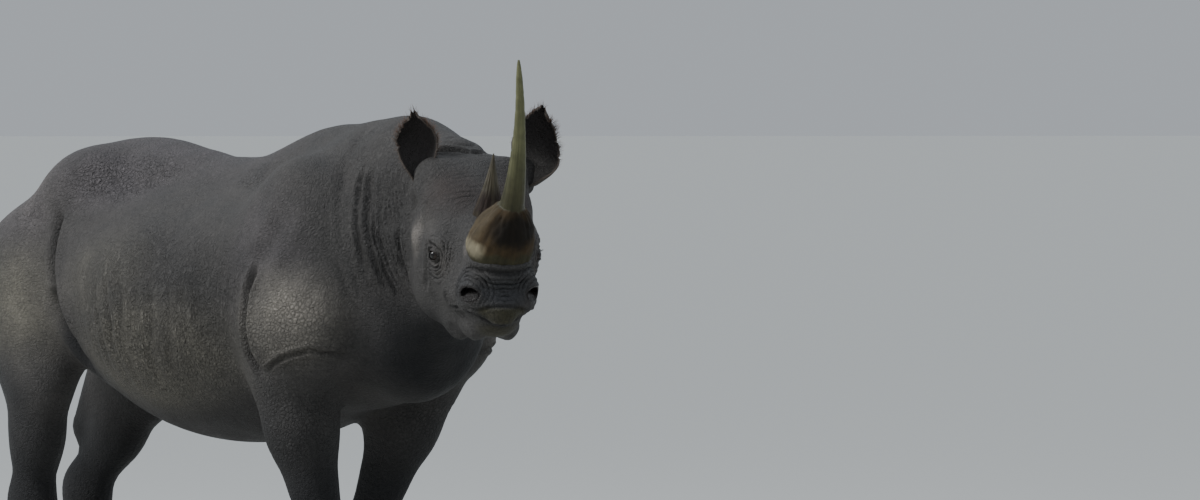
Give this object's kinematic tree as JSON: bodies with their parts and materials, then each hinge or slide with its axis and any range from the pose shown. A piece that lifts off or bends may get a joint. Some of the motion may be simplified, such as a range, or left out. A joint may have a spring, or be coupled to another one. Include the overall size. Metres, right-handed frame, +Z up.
{
  "type": "black rhinoceros",
  "caption": "Life-size standing black rhinoceros, head turned to its right, with a long slim front horn and a short rear horn.",
  "frame": {"origin": "on the floor, under the centre of the whole animal's box", "axes": "+X the way the body faces, +Y towards the animal's left side, +Z up"},
  "size_m": [2.9888, 0.8986, 1.769],
  "materials": {
    "hide": "dry, rough and wrinkled bare skin, dusty grey brown, darker on the legs",
    "horn": "keratin: fibrous brown foot, smooth olive grey spike, darker tip",
    "eye": "wet, dark brown",
    "nail": "worn, dull, finely ridged",
    "bristle": "stiff black brown hair"
  },
  "bodies": {
    "root": {"front_horn": "horn", "head": "hide", "left_ear": "hide", "left_eye": "eye", "left_fore_foot": "hide", "left_fore_lower_leg": "hide", "left_fore_nail_1": "nail", "left_fore_nail_2": "nail", "left_fore_nail_3": "nail", "left_fore_upper_leg": "hide", "left_hind_foot": "hide", "left_hind_lower_leg": "hide", "left_hind_nail_1": "nail", "left_hind_nail_2": "nail", "left_hind_nail_3": "nail", "left_hind_upper_leg": "hide", "lower_jaw": "hide", "neck": "hide", "rear_horn": "horn", "right_ear": "hide", "right_eye": "eye", "right_fore_foot": "hide", "right_fore_lower_leg": "hide", "right_fore_nail_1": "nail", "right_fore_nail_2": "nail", "right_fore_nail_3": "nail", "right_fore_upper_leg": "hide", "right_hind_foot": "hide", "right_hind_lower_leg": "hide", "right_hind_nail_1": "nail", "right_hind_nail_2": "nail", "right_hind_nail_3": "nail", "right_hind_upper_leg": "hide", "tail": "hide", "tail_brush": "bristle", "trunk": "hide"}
  },
  "joints": []
}
